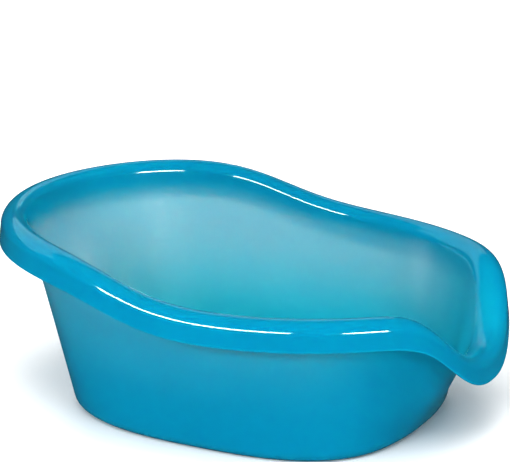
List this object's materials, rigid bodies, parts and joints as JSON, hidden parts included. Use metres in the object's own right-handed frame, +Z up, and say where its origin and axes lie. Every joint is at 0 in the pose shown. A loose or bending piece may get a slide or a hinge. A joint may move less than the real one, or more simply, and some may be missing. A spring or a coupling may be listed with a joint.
{
  "type": "cat litter pan",
  "caption": "Open high-backed cat litter pan in translucent blue plastic, with a low dipped entry lip and a rolled, turned-down rim all round.",
  "frame": {"origin": "centre of the pan's footprint on the surface that it stands on", "axes": "+Z up, -Y towards the low entry, +Y towards the high back, X across the pan"},
  "size_m": [0.448, 0.5594, 0.2109],
  "materials": {
    "blue_plastic": "glossy translucent injection-moulded polypropylene, cyan blue"
  },
  "bodies": {
    "root": {"floor_panel": "blue_plastic", "entry_wall": "blue_plastic", "entry_flare": "blue_plastic", "entry_rim": "blue_plastic", "entry_skirt": "blue_plastic", "right_wall": "blue_plastic", "right_flare": "blue_plastic", "right_rim": "blue_plastic", "right_skirt": "blue_plastic", "back_wall": "blue_plastic", "back_flare": "blue_plastic", "back_rim": "blue_plastic", "back_skirt": "blue_plastic", "left_wall": "blue_plastic", "left_flare": "blue_plastic", "left_rim": "blue_plastic", "left_skirt": "blue_plastic"}
  },
  "joints": []
}
